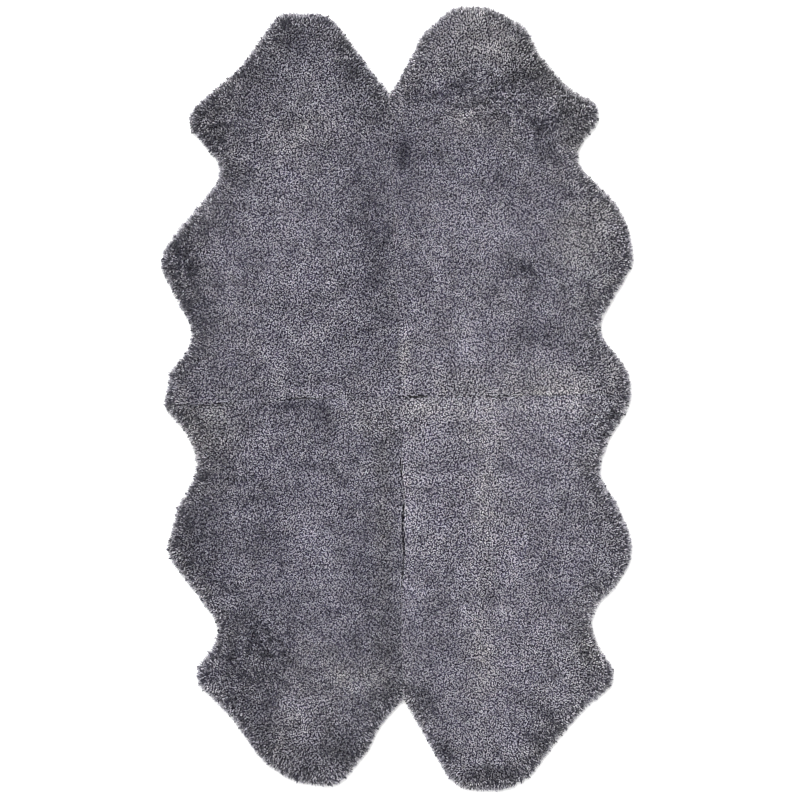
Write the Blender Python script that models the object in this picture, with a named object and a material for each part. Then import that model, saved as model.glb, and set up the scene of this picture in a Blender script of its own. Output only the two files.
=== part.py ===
"""Grey sheepskin rug: four pelts sewn edge to edge, lying flat with the wool up.

Each pelt is one solid with a flat skin underneath, a lumpy bed of shorn wool on top and a rim of short
locks. +Y runs along the spine seam, +Z points up and the origin is under the middle of the rug.
"""
import math
from collections import namedtuple

import bmesh
import bpy
from mathutils import Vector

MM = 0.001

# Wool and skin, in millimetres
WOOL_HEIGHT = 22.0        # mean height of the wool above the floor
WOOL_FLOOR = 17.0         # no trough reaches lower than this
LOCK_HEIGHT = 9.0         # height of the tips of the rim's locks
SKIN_INSET = 9.0          # the skin ends this far inside the wool's outline
CROWN_INSET = 9.0         # the rounded shoulder of the wool, seen from above
SHOULDER_DROP = 3.5       # how far the wool sinks at its outer edge
SHOULDER_WIDTH = 22.0

# Locks round the rim
LOCK_PITCH = 20.5         # along the outline, from tip to tip
LOCK_REACH = 3.5          # the tips stand this far outside the outline
LOCK_GAP = 4.5            # the notches between them lie this far inside
LOCK_LEAN = 3.0           # a tip leans up to this far along the outline
LOCK_RISE = 2.0           # a tip stands up to this much higher or lower
LOCK_VARY = 0.35          # the reach varies by up to this share
LOCK_FADE = 45.0          # the locks grow over this length from a seam's end

# Seams between the pelts
SEAM_GAP = 0.3            # between two pelts
SEAM_HEIGHT = 15.5        # the wool of two pelts meets up to this height
SEAM_ROUNDING = 3.5       # above it the wool is rounded back this far
SEAM_STEP = 22.0          # spacing of the points along a seam
SEAM_WANDER = 1.5         # the sewing strays this far to either side
SEAM_DROP = 1.0           # the wool is pressed down this far along a seam
SEAM_WIDTH = 12.0         # within about this distance of it
NEARLY_STRAIGHT = 0.3     # sine of the turn under which two edges count as one line

# Lumps of the wool's surface
CELL = 22.0               # side of the cells that the surface is divided into
CELL_SNAP = 4.0           # a dividing line goes through a corner that is this close
CELL_SHIFT = 4.0          # the cells' corners stray this far sideways
GRAIN = 1.4               # height of the small lumps

# Factors that scatter the values of uneven(); they have no meaning in the rug
SCATTER_X = 1.7
SCATTER_Y = 2.9
SCATTER_TWIST = 3.0

ARC_STEP = 6.0            # spacing of the points along an arc of the outline

Corner = namedtuple("Corner", "place x y radius")
Point = namedtuple("Point", "x y")
Wave = namedtuple("Wave", "length heading height")
Trough = namedtuple("Trough", "place x1 y1 x2 y2 width depth")
Parting = namedtuple("Parting", "place y length width depth")
Seam = namedtuple("Seam", "points partings")
Pelt = namedtuple("Pelt", "name rim seams colour")

# The outline of each pelt away from the seams, in millimetres from the middle of the rug. It is a path of
# straight lines whose corners are rounded to the radius given.
RIM_TOP_LEFT = [
    Corner("notch at the spine", -18, 716, 0),
    Corner("inner side of the neck", -162, 906, 61),
    Corner("outer side of the neck", -279, 906, 42),
    Corner("throat", -367, 782, 141),
    Corner("foreleg, upper", -488, 676, 28),
    Corner("foreleg, lower", -488, 638, 24),
    Corner("waist", -400, 536, 52),
    Corner("flank", -567, 327, 63),
    Corner("hip", -469, 143, 70),
    Corner("hind leg", -535, 63, 19),
    Corner("end of the cross seam", -547, -15, 0),
]
RIM_BOTTOM_LEFT = [
    Corner("end of the cross seam", -547, -15, 0),
    Corner("hind leg", -544, -26, 12),
    Corner("thigh", -495, -79, 71),
    Corner("hip", -461, -160, 75),
    Corner("belly", -515, -255, 141),
    Corner("flank", -545, -362, 52),
    Corner("waist", -405, -549, 66),
    Corner("foreleg, upper", -471, -634, 24),
    Corner("foreleg, lower", -470, -670, 28),
    Corner("shoulder", -388, -751, 141),
    Corner("throat", -317, -850, 118),
    Corner("outer side of the neck", -249, -901, 118),
    Corner("inner side of the neck", -139, -916, 52),
    Corner("bend of the neck", -68, -826, 59),
    Corner("root of the neck", -47, -777, 71),
    Corner("notch at the spine", 15, -704, 0),
]
RIM_BOTTOM_RIGHT = [
    Corner("notch at the spine", 15, -704, 0),
    Corner("root of the neck", 78, -815, 118),
    Corner("inner side of the neck", 118, -887, 47),
    Corner("end of the neck, inner", 153, -920, 70),
    Corner("end of the neck, outer", 254, -923, 94),
    Corner("outer side of the neck", 310, -892, 71),
    Corner("throat", 378, -800, 141),
    Corner("shoulder", 451, -718, 71),
    Corner("foreleg, lower", 505, -679, 28),
    Corner("foreleg, upper", 510, -636, 35),
    Corner("armpit", 475, -589, 71),
    Corner("waist, lower", 453, -522, 59),
    Corner("waist, upper", 474, -481, 59),
    Corner("belly, lower", 513, -442, 141),
    Corner("flank, lower", 550, -384, 71),
    Corner("flank, upper", 550, -321, 82),
    Corner("belly, upper", 517, -248, 188),
    Corner("hip", 471, -177, 59),
    Corner("thigh", 494, -100, 71),
    Corner("hind leg", 541, -27, 90),
    Corner("end of the cross seam", 551, 11, 0),
]
RIM_TOP_RIGHT = [
    Corner("end of the cross seam", 551, 11, 0),
    Corner("hind leg", 543, 69, 71),
    Corner("hip", 465, 164, 59),
    Corner("flank, lower", 558, 321, 59),
    Corner("flank, upper", 545, 405, 141),
    Corner("belly", 515, 460, 118),
    Corner("waist", 407, 568, 52),
    Corner("foreleg, lower", 473, 653, 28),
    Corner("foreleg, upper", 472, 695, 19),
    Corner("shoulder", 407, 723, 59),
    Corner("throat", 331, 814, 71),
    Corner("outer side of the neck", 299, 876, 59),
    Corner("end of the neck, outer", 214, 923, 70),
    Corner("end of the neck, inner", 130, 921, 59),
    Corner("inner side of the neck", 61, 859, 71),
    Corner("root of the neck", 9, 756, 71),
    Corner("notch at the spine", -18, 716, 0),
]

# Where the wool stands open along the lower spine seam
PARTINGS = [
    Parting("short parting", -165, 45, 2.5, 3.0),
    Parting("long parting", -305, 115, 4.0, 7.0),
]

# The seams: each pelt has one that ends in the middle, where the four pelts meet, and one that starts there
MIDDLE = Point(8, 4)
SPINE_TOP = [Point(-18, 716), Point(-12, 537), Point(-6, 349), Point(2, 161), MIDDLE]
SPINE_BOTTOM = [Point(15, -704), Point(9, -521), Point(15, -380), Point(16, -286), Point(11, -156), MIDDLE]
CROSS_LEFT = [Point(-547, -15), Point(-395, -13), Point(-252, -1), Point(-110, 4), MIDDLE]
CROSS_RIGHT = [Point(551, 11), Point(454, 12), Point(301, 7), Point(139, 7), MIDDLE]

# The wool's broad lumps are waves that cross: length and height in millimetres, heading in degrees from +X
WAVES = [
    Wave(230, 25, 0.9),
    Wave(170, 110, 0.8),
    Wave(120, -50, 0.6),
    Wave(95, 70, 0.5),
]

# Creases and hollows that the wool lies in
TROUGHS = [
    Trough("crease across the right neck, upper", 150, 742, 330, 762, 16, 3.0),
    Trough("crease across the right neck, lower", 110, 668, 300, 655, 13, 2.2),
    Trough("crease over the right shoulder", 170, 620, 250, 600, 12, 2.0),
    Trough("hollow by the upper spine", 14, 620, 14, 560, 26, 3.2),
    Trough("hollow beside the left back", -50, 520, -38, 180, 34, 1.8),
    Trough("crease in the left neck", -118, 760, -95, 790, 11, 2.0),
    Trough("crease under the left cross seam", -300, -34, -180, -30, 14, 2.2),
    Trough("crease at the left hind leg", -487, -20, -487, -76, 9, 2.0),
    Trough("hollow in the lower left neck", -240, -702, -225, -702, 16, 3.2),
    Trough("furrow in the lower left belly", -150, -400, -140, -500, 18, 1.6),
    Trough("hollow at the lower left shoulder", -330, -560, -290, -660, 34, 1.8),
]

# The pelts, each with its seams in anticlockwise order and its colour in sRGB
PELTS = [
    Pelt(
        "pelt_top_left",
        RIM_TOP_LEFT,
        (Seam(CROSS_LEFT, ()), Seam(SPINE_TOP[::-1], ())),
        (107, 105, 115),
    ),
    Pelt(
        "pelt_bottom_left",
        RIM_BOTTOM_LEFT,
        (Seam(SPINE_BOTTOM, PARTINGS), Seam(CROSS_LEFT[::-1], ())),
        (105, 103, 112),
    ),
    Pelt(
        "pelt_bottom_right",
        RIM_BOTTOM_RIGHT,
        (Seam(CROSS_RIGHT, ()), Seam(SPINE_BOTTOM[::-1], PARTINGS)),
        (119, 117, 128),
    ),
    Pelt(
        "pelt_top_right",
        RIM_TOP_RIGHT,
        (Seam(SPINE_TOP, ()), Seam(CROSS_RIGHT[::-1], ())),
        (111, 109, 118),
    ),
]


def uneven(x, y):
    """An irregular value from -1 to 1 that depends only on the place."""
    return math.sin(SCATTER_X * x + SCATTER_Y * y + SCATTER_TWIST * math.sin(x - y / 2))


def bell(distance, width):
    """A soft bump: 1 at no distance, and almost 0 at twice the width."""
    return math.exp(-((distance / width) ** 2))


def left_of(direction):
    return Vector((-direction.y, direction.x))


def corner_arc(before, corner, after):
    """The arc that rounds a corner of a path, as points."""
    place = Vector((corner.x, corner.y))
    back = (Vector((before.x, before.y)) - place).normalized()
    ahead = (Vector((after.x, after.y)) - place).normalized()
    half_angle = back.angle(ahead) / 2
    centre = place + (back + ahead).normalized() * corner.radius / math.sin(half_angle)
    start = place + back * corner.radius / math.tan(half_angle) - centre
    end = place + ahead * corner.radius / math.tan(half_angle) - centre
    turn = math.atan2(start.cross(end), start.dot(end))
    steps = max(2, math.ceil(abs(turn) * corner.radius / ARC_STEP))
    angles = [turn * step / steps for step in range(steps + 1)]
    return [centre + start * math.cos(angle) + left_of(start) * math.sin(angle) for angle in angles]


def rounded_path(corners):
    """The outline through the corners, with every corner but the two ends rounded."""
    path = [Vector((corners[0].x, corners[0].y))]
    for before, corner, after in zip(corners, corners[1:], corners[2:]):
        path += corner_arc(before, corner, after)
    path.append(Vector((corners[-1].x, corners[-1].y)))
    return path


def path_length(path):
    return sum((end - start).length for start, end in zip(path, path[1:]))


def spaced(path, count):
    """The path's first point and those after it that divide the path into count equal lengths."""
    step = path_length(path) / count
    points = []
    walked = 0.0
    for start, end in zip(path, path[1:]):
        length = (end - start).length
        while len(points) < count and len(points) * step <= walked + length:
            points.append(start.lerp(end, (len(points) * step - walked) / length))
        walked += length
    return points


class Station:
    """A place on a pelt's outline and the shape of the pelt's side there."""

    def __init__(self, place, on_rim, height, reach=0.0, lean=0.0, opening=0.0):
        self.place = place      # on the outline
        self.on_rim = on_rim    # False along a seam
        self.height = height    # height of the side's middle ring
        self.reach = reach      # how far the wool stands outside the outline
        self.lean = lean        # how far it leans along the outline
        self.opening = opening  # how far the wool stands back from a seam


def rim_stations(rim):
    """The stations along the rim: a gap between two locks and a lock's tip in turn."""
    path = rounded_path(rim)
    length = path_length(path)
    count = 2 * round(length / LOCK_PITCH)
    stations = []
    for index, place in enumerate(spaced(path, count)):
        walked = length * index / count
        fade = min(1.0, walked / LOCK_FADE, (length - walked) / LOCK_FADE)
        vary = uneven(place.x, place.y)
        station = Station(place, True, LOCK_HEIGHT + LOCK_RISE * vary)
        if index % 2:
            station.reach = fade * LOCK_REACH * (1 + LOCK_VARY * vary)
            station.lean = fade * LOCK_LEAN * uneven(place.y, place.x)
        else:
            station.reach = -fade * LOCK_GAP * (1 + LOCK_VARY * vary)
        stations.append(station)
    return stations


def seam_stations(seam):
    """Evenly spaced stations along a seam, which wanders a little as hand-guided sewing does."""
    path = [Vector((point.x, point.y)) for point in seam.points]
    count = round(path_length(path) / SEAM_STEP)
    stations = []
    for index, place in enumerate(spaced(path, count)):
        wander = SEAM_WANDER * math.sin(math.pi * index / count)
        place += wander * Vector((math.sin(place.y / SEAM_STEP), math.sin(place.x / SEAM_STEP)))
        station = Station(place, False, SEAM_HEIGHT)
        for parting in seam.partings:
            share = bell(place.y - parting.y, parting.length / 2)
            station.opening += parting.width / 2 * share
            station.height -= parting.depth * share
        stations.append(station)
    return stations


def inset(before, station, after, rim_inset, seam_inset):
    """A station's place moved into the pelt from its two edges, which run anticlockwise round it."""
    first = left_of(station.place - before.place).normalized()
    second = left_of(after.place - station.place).normalized()
    first_inset = rim_inset if before.on_rim else seam_inset
    second_inset = rim_inset if station.on_rim else seam_inset
    spread = first.cross(second)
    if abs(spread) < NEARLY_STRAIGHT:
        return station.place + (first + second).normalized() * (first_inset + second_inset) / 2
    x = (first_inset * second.y - second_inset * first.y) / spread
    y = (second_inset * first.x - first_inset * second.x) / spread
    return station.place + Vector((x, y))


def side_rings(stations):
    """The three rings of a pelt's side, from the floor up: skin, middle of the wool and crown."""
    skin, middle, crown = [], [], []
    for before, station, after in zip(stations[-1:] + stations, stations, stations[1:] + stations[:1]):
        place = inset(before, station, after, SKIN_INSET, SEAM_GAP / 2)
        skin.append((*place, 0.0))
        place = inset(before, station, after, -station.reach, SEAM_GAP / 2 + station.opening)
        place += (after.place - before.place).normalized() * station.lean
        middle.append((*place, station.height))
        place = inset(before, station, after, CROWN_INSET, SEAM_ROUNDING + station.opening)
        crown.append((*place, WOOL_HEIGHT))
    return skin, middle, crown


def extruded(mesh, face, places):
    """Extrudes a face, moves the corners of the new one to the places given and returns it."""
    grown = bmesh.ops.extrude_face_region(mesh, geom=[face, *face.edges, *face.verts])
    top = next(item for item in grown["geom"] if isinstance(item, bmesh.types.BMFace))
    for corner, place in zip(top.verts, places):
        corner.co = place
    return top


def divided(mesh, faces, axis):
    """Cuts the faces into strips one cell wide across the axis, and returns the pieces."""
    normal = Vector((0, 0, 0))
    normal[axis] = 1
    places = [corner.co[axis] for face in faces for corner in face.verts]
    for step in range(math.ceil(min(places) / CELL), math.floor(max(places) / CELL) + 1):
        pieces = dict.fromkeys(item for face in faces for item in (face, *face.edges, *face.verts))
        cut = bmesh.ops.bisect_plane(
            mesh, geom=list(pieces), dist=CELL_SNAP, plane_co=normal * step * CELL, plane_no=normal
        )
        faces = [item for item in cut["geom"] if isinstance(item, bmesh.types.BMFace)]
    return faces


def distance_to_trough(place, trough):
    start = Vector((trough.x1, trough.y1))
    along = Vector((trough.x2, trough.y2)) - start
    share = max(0.0, min(1.0, (place - start).dot(along) / along.length_squared))
    return (place - start - along * share).length


def wool_height(place, rim_distance):
    """Height of the wool's surface, with its lumps, its troughs and its shoulder at the rim."""
    height = WOOL_HEIGHT + GRAIN * uneven(place.x, place.y)
    height -= SHOULDER_DROP * bell(rim_distance, SHOULDER_WIDTH)
    for wave in WAVES:
        heading = math.radians(wave.heading)
        travelled = place.x * math.cos(heading) + place.y * math.sin(heading)
        height += wave.height * math.sin(math.tau * travelled / wave.length)
    for trough in TROUGHS:
        height -= trough.depth * bell(distance_to_trough(place, trough), trough.width)
    return max(WOOL_FLOOR, height)


def shape_surface(faces, stations):
    """Raises the divided surface into lumps and shifts its inner corners off their straight lines."""
    rim = [station.place for station in stations if station.on_rim]
    for corner in dict.fromkeys(corner for face in faces for corner in face.verts):
        place = corner.co.xy
        rim_distance = min((place - other).length for other in rim)
        edge_distance = min((place - station.place).length for station in stations)
        height = wool_height(place, rim_distance)
        if edge_distance > CELL:
            corner.co.x += CELL_SHIFT * uneven(place.y, place.x)
            corner.co.y += CELL_SHIFT * uneven(place.x + CELL, place.y)
        elif rim_distance > CELL:
            height -= SEAM_DROP * bell(edge_distance, SEAM_WIDTH)
        corner.co.z = height


def pelt_mesh(pelt):
    """One pelt as a closed mesh: skin, side and divided surface."""
    stations = rim_stations(pelt.rim)
    for seam in pelt.seams:
        stations += seam_stations(seam)
    skin, middle, crown = side_rings(stations)
    mesh = bmesh.new()
    bottom = mesh.faces.new([mesh.verts.new(place) for place in skin])
    side = extruded(mesh, bottom, middle)
    top = extruded(mesh, side, crown)
    surface = divided(mesh, divided(mesh, [top], 0), 1)
    shape_surface(surface, stations)
    bmesh.ops.triangulate(mesh, faces=[face for face in mesh.faces if len(face.verts) > 3])
    bmesh.ops.recalc_face_normals(mesh, faces=mesh.faces)
    return mesh


def wool_material(name, colour):
    """Matt wool of the colour given in sRGB from 0 to 255."""
    material = bpy.data.materials.new(name)
    material.use_nodes = True
    shader = material.node_tree.nodes["Principled BSDF"]
    linear = [((value / 255 + 0.055) / 1.055) ** 2.4 for value in colour]
    shader.inputs["Base Color"].default_value = (*linear, 1.0)
    shader.inputs["Roughness"].default_value = 0.95
    shader.inputs["Metallic"].default_value = 0.0
    return material


def add_pelt(pelt, rug, collection):
    """Adds a pelt as an object with its own origin, placed in the rug."""
    mesh = pelt_mesh(pelt)
    middle = sum((corner.co for corner in mesh.verts), Vector()) / len(mesh.verts)
    middle.z = 0.0
    bmesh.ops.translate(mesh, vec=-middle, verts=mesh.verts)
    bmesh.ops.scale(mesh, vec=(MM, MM, MM), verts=mesh.verts)
    data = bpy.data.meshes.new(pelt.name)
    mesh.to_mesh(data)
    mesh.free()
    data.shade_smooth()
    data.materials.append(wool_material(pelt.name + "_wool", pelt.colour))
    pelt_object = bpy.data.objects.new(pelt.name, data)
    pelt_object.parent = rug
    pelt_object.location = middle * MM
    collection.objects.link(pelt_object)


def middle_of(objects):
    """The middle of what the objects cover, seen from above."""
    places = [item.location + corner.co for item in objects for corner in item.data.vertices]
    middle = [(min(p[axis] for p in places) + max(p[axis] for p in places)) / 2 for axis in (0, 1)]
    return Vector((*middle, 0.0))


def build():
    for item in list(bpy.data.objects):
        bpy.data.objects.remove(item)
    collection = bpy.data.collections.new("Sheepskin rug")
    bpy.context.scene.collection.children.link(collection)
    rug = bpy.data.objects.new("sheepskin_rug", None)
    collection.objects.link(rug)
    for pelt in PELTS:
        add_pelt(pelt, rug, collection)
    rug.location = -middle_of([bpy.data.objects[pelt.name] for pelt in PELTS])


build()
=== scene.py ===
# %% [markdown]
# # A quarto sheepskin rug
#
# The rug is four grey pelts, sewn edge to edge and laid flat with the wool up. Each pelt is a thin skin
# that carries a bed of dense shorn wool, and the ends of the wool curl into small locks. From above only
# the curls show, so they are what this script spends its faces on.
#
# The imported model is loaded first. It fixes where every pelt lies and how high its wool stands, and the
# pieces below are fitted to it. Lengths are in metres, and `MM` turns millimetres into metres.

# %% Load the frame
import math

import bmesh
import bpy
import numpy as np
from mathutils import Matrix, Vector, noise
from mathutils.bvhtree import BVHTree
from mathutils.kdtree import KDTree


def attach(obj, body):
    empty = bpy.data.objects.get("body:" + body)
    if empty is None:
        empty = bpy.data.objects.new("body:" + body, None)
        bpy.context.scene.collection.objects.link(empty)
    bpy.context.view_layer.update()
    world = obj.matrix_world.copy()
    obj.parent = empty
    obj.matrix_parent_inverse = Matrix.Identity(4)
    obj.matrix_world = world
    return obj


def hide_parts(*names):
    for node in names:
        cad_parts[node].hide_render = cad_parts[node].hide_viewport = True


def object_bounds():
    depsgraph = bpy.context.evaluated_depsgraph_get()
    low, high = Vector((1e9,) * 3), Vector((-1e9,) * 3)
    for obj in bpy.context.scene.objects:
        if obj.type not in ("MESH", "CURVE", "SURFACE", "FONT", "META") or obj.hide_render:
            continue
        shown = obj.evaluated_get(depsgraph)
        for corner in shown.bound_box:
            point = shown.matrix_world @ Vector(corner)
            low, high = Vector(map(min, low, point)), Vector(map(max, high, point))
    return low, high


MM = 0.001
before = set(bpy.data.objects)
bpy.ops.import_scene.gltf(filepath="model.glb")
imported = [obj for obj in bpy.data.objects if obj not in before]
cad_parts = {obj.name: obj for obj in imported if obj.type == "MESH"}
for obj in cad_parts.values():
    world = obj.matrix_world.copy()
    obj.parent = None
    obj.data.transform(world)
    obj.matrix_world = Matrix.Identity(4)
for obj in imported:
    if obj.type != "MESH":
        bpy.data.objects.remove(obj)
cad_low, cad_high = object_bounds()
RUG_LENGTH = cad_high.y - cad_low.y
PELTS = sorted(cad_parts)
print("pelts:", ", ".join(PELTS), "| rug", [round(size, 3) for size in cad_high - cad_low])

# %% [markdown]
# ## Camera
#
# The photograph looks straight down, and the rug's length fills almost all of its height. A long lens high
# above the floor keeps the view as flat as it is there. Its focal length follows from the width it shows.

# %% Camera
PICTURE_SIDE = 800
RUG_IN_PICTURE = 787        # length of the rug in the picture, in pixels
VIEW_MIDDLE = (7 * MM, -3.5 * MM)
CAMERA_HEIGHT = 7.0
SENSOR = 36.0               # width of the camera's sensor, in millimetres


def placed(name, data):
    """A new object in the scene."""
    made = bpy.data.objects.new(name, data)
    bpy.context.scene.collection.objects.link(made)
    return made


picture_width = RUG_LENGTH * PICTURE_SIDE / RUG_IN_PICTURE
lens = bpy.data.cameras.new("camera")
lens.sensor_width = SENSOR
lens.lens = SENSOR * CAMERA_HEIGHT / picture_width
camera = placed("camera", lens)
camera.location = (*VIEW_MIDDLE, CAMERA_HEIGHT + cad_high.z / 2)
bpy.context.scene.camera = camera
print(f"the picture shows {picture_width:.3f} m through a lens of {lens.lens:.0f} mm")

# %% [markdown]
# ## Shader maths
#
# A material is a tree of nodes. Two small classes let it be written as plain Python: `Finish` holds a
# material and adds nodes to it, and `Socket` is the output of a node, which can be added to or multiplied
# by numbers and other sockets.


# %% Socket
class Socket:
    """The output of a shader node. Arithmetic on it adds Math nodes."""

    def __init__(self, finish, output):
        self.finish = finish
        self.output = output

    def maths(self, operation, first, second):
        return self.finish.node("ShaderNodeMath", {"operation": operation}, {0: first, 1: second})

    def __add__(self, other):
        return self.maths("ADD", self, other)

    def __radd__(self, other):
        return self.maths("ADD", other, self)

    def __sub__(self, other):
        return self.maths("SUBTRACT", self, other)

    def __rsub__(self, other):
        return self.maths("SUBTRACT", other, self)

    def __mul__(self, other):
        return self.maths("MULTIPLY", self, other)

    def __rmul__(self, other):
        return self.maths("MULTIPLY", other, self)

    def at_least(self, limit):
        return self.maths("MAXIMUM", self, limit)


# %% Finish
class Finish:
    """A material, its node tree and the Principled shader that ends it."""

    def __init__(self, name, **constants):
        self.material = bpy.data.materials.new(name)
        self.material.use_nodes = True
        self.tree = self.material.node_tree
        self.shader = self.tree.nodes["Principled BSDF"]
        for socket, value in constants.items():
            self.shader.inputs[socket.replace("_", " ")].default_value = value

    def feed(self, socket, value):
        if isinstance(value, Socket):
            self.tree.links.new(value.output, socket)
        else:
            socket.default_value = value

    def node(self, kind, settings=None, sockets=None, output=0):
        """Adds a node, sets it up, feeds its sockets and returns one of its outputs."""
        made = self.tree.nodes.new(kind)
        for name, value in (settings or {}).items():
            setattr(made, name, value)
        for name, value in (sockets or {}).items():
            self.feed(made.inputs[name], value)
        return Socket(self, made.outputs[output])

    def attribute(self, name, output="Fac"):
        return self.node("ShaderNodeAttribute", {"attribute_name": name}, output=output)

    def places(self):
        """Where each point of the piece lies."""
        return self.node("ShaderNodeTexCoord", output="Object")

    def noise(self, vector, scale, detail=2.0):
        sockets = {"Vector": vector, "Scale": scale, "Detail": detail}
        return self.node("ShaderNodeTexNoise", sockets=sockets, output="Fac")

    def mix(self, factor, first, second):
        """A colour on the line through two colours, also beyond them."""
        settings = {"data_type": "RGBA", "clamp_factor": False}
        return self.node("ShaderNodeMix", settings, {0: factor, 6: first, 7: second}, output=2)

    def tinted(self, colour, strength):
        """A colour made lighter or darker by a number."""
        settings = {"operation": "SCALE"}
        return self.node("ShaderNodeVectorMath", settings, {0: colour, "Scale": strength})

    def bump(self, height, distance, strength=1.0):
        sockets = {"Height": height, "Distance": distance, "Strength": strength}
        self.feed(self.shader.inputs["Normal"], self.node("ShaderNodeBump", sockets=sockets))


def linear(red, green, blue):
    """A colour given in sRGB from 0 to 255, as the linear colour that a shader takes."""
    values = [value / 255 for value in (red, green, blue)]
    return (*[value / 12.92 if value < 0.04 else ((value + 0.055) / 1.055) ** 2.4 for value in values], 1.0)


# %% [markdown]
# ## Wool
#
# Dyed sheepskin is never one grey. The dye takes bluish on the back of a pelt and browner on its legs and
# neck. Patches are lighter or darker as well. Some are the wool's own tone, and some are painted light and
# shade where the wool lies another way to the light. Those patches are worked out in Python, point by point,
# and travel to the shader as two attributes of the mesh: `light`, which multiplies the colour with tone and
# painted shade, and `warmth`, which mixes a bluish grey with a brownish one. The third attribute, `strand`,
# runs along each curl, so the fibres can follow it, and the fourth, `grain`, makes the crimp's painted
# shadows stronger in some places than in others.
#
# Wool is crimped, so each curl is broken up by small painted shadows. They are taken off the brightness,
# not multiplied with it, because a shadow between fibres is as deep in dark wool as in light wool. Where the
# wool is darker, from its tone or from painted shade, it is also bluer, so the colour isn't only scaled: it
# moves on a line from a bluish depth to the pale colour, and past it on the brightest tips.

# %% Wool finishes
COOL_WOOL = linear(157, 155, 170)
WARM_WOOL = linear(158, 156, 160)
# the bluish colours that the wool moves towards where its tone or painted shade darkens it
COOL_DEPTH = (0.0, 0.0, 0.019, 1.0)
WARM_DEPTH = (0.0, 0.0, 0.008, 1.0)
# painted shade: the bed's colours are darkened, as little light reaches the wool between the curls
SHADED_BED_COOL = linear(71, 68, 86)
SHADED_BED_WARM = linear(72, 70, 77)
FIBRE_SCALE = 2.2           # noise along the strands
FIBRE_LOW, FIBRE_RISE = 0.7, 0.6        # light between the fibres, and how much more there is on them
FIBRE_DEPTH = 0.6 * MM
CRIMP_SCALE = 290.0         # the crimp of the fibres changes about every three and a half millimetres
CRIMP_SHADOW = 3.5          # how dark the wool is in the hollows of the crimp
DARKEST = 0.02              # no curl is darker than this
TUFT_SCALE = 330.0          # the bed's tufts are about three millimetres wide
TUFT_RISE, TUFT_LOW, TUFT_DARKEST = 5.6, 1.8, 0.08      # its light is a steep slope over the noise
TUFT_DEPTH = 3.0 * MM


def curl_finish():
    """The curled ends of the wool, with fine fibres running along them."""
    wool = Finish("curled_wool", Roughness=0.8, Sheen_Weight=0.15, Sheen_Roughness=0.5)
    strand = wool.attribute("strand", "Vector")
    fibres = wool.noise(strand, FIBRE_SCALE, 3.0)
    warmth = wool.attribute("warmth")
    pale = wool.mix(warmth, COOL_WOOL, WARM_WOOL)
    dark = wool.mix(warmth, COOL_DEPTH, WARM_DEPTH)
    crimp = wool.noise(wool.places(), CRIMP_SCALE)
    shadow = CRIMP_SHADOW * wool.attribute("grain") * (0.5 - crimp).at_least(0.0)
    light = wool.attribute("light") * (FIBRE_LOW + FIBRE_RISE * fibres)
    strength = (light - shadow).at_least(DARKEST)
    colour = wool.mix(strength, dark, pale)
    wool.feed(wool.shader.inputs["Base Color"], colour)
    wool.bump(fibres, FIBRE_DEPTH, 0.7)
    return wool.material


def bed_finish():
    """The dense wool between and under the curls, darkened as painted shade because little light reaches it.
    """
    wool = Finish("shaded_bed_wool", Roughness=0.95)
    tufts = wool.noise(wool.places(), TUFT_SCALE, 3.0)
    colour = wool.mix(wool.attribute("warmth"), SHADED_BED_COOL, SHADED_BED_WARM)
    shade = (TUFT_RISE * tufts - TUFT_LOW).at_least(TUFT_DARKEST)
    colour = wool.tinted(colour, wool.attribute("light") * shade)
    wool.feed(wool.shader.inputs["Base Color"], colour)
    wool.bump(tufts, TUFT_DEPTH)
    return wool.material


CURLED_WOOL = curl_finish()
SHADED_BED_WOOL = bed_finish()
print("finishes:", CURLED_WOOL.name, "and", SHADED_BED_WOOL.name)

# %% [markdown]
# ## Where the wool is lighter, darker, bluer or browner
#
# The table holds the patches that can be told apart from a step away. Some are the wool's own tone. The
# rest are painted light and shade: lighter where the wool lies another way to the light, and darker in its
# hollows, furrows and creases and in the shadow of the cross seam. Each is a soft oval: its middle and its
# reach in millimetres from the middle of the rug, how much lighter or darker it looks, and how much warmer
# it is. Smaller patches come from three sizes of noise, which is smooth and the same in every run.
# An eye compares brightness by ratios, so the sum of the changes is raised to a power before it scales the
# linear colour of the wool.
#
# Every layer of noise is read at a height of its own, such as 50 or 200, so that no two are alike.

# %% Patches of tone and painted light and shade
PELT_TONES = {                          # brightness and warmth of each pelt's wool
    "pelt_top_left": (1.055, 0.24),
    "pelt_top_right": (1.10, 0.26),
    "pelt_bottom_left": (1.05, 0.14),
    "pelt_bottom_right": (1.13, 0.24),
}
# place on the pelt, x, y, reach across, reach along, lighter, warmer
TONE_AND_SHADE_PATCHES = {}
TONE_AND_SHADE_PATCHES["pelt_top_left"] = [
    ("tip of the neck", -250, 848, 42, 38, -0.19, 0.1),
    ("outer side of the neck", -335, 745, 75, 75, -0.11, 0.1),
    ("inner side of the neck", -104, 762, 36, 50, -0.17, 0.1),
    ("middle of the neck", -214, 735, 24, 60, 0.07, 0.2),
    ("crown of the neck", -228, 800, 50, 34, -0.05, 0.0),
    ("withers", -228, 620, 95, 60, 0.04, 0.4),
    ("foreleg", -440, 655, 60, 40, -0.07, 0.2),
    ("armpit", -404, 520, 38, 32, -0.13, 0.0),
    ("shoulder", -263, 478, 32, 44, 0.07, 0.0),
    ("hollow behind the withers", -193, 582, 26, 30, -0.08, 0.0),
    ("back", -275, 375, 120, 150, 0.06, -0.1),
    ("loin", -322, 120, 110, 70, 0.05, 0.0),
    ("flank's edge", -495, 350, 34, 95, -0.09, 0.1),
    ("hip's edge", -464, 165, 38, 90, -0.13, 0.0),
    ("hind leg's edge", -495, 45, 34, 40, -0.08, 0.1),
    ("along the cross seam", -130, 18, 90, 12, 0.10, 0.0),
    ("leg along the cross seam", -400, 16, 90, 9, 0.06, 0.1),
    ("beside the spine", -55, 345, 42, 200, -0.15, 0.0),
    ("upper spine", -40, 600, 45, 100, -0.04, 0.0),
]
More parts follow.
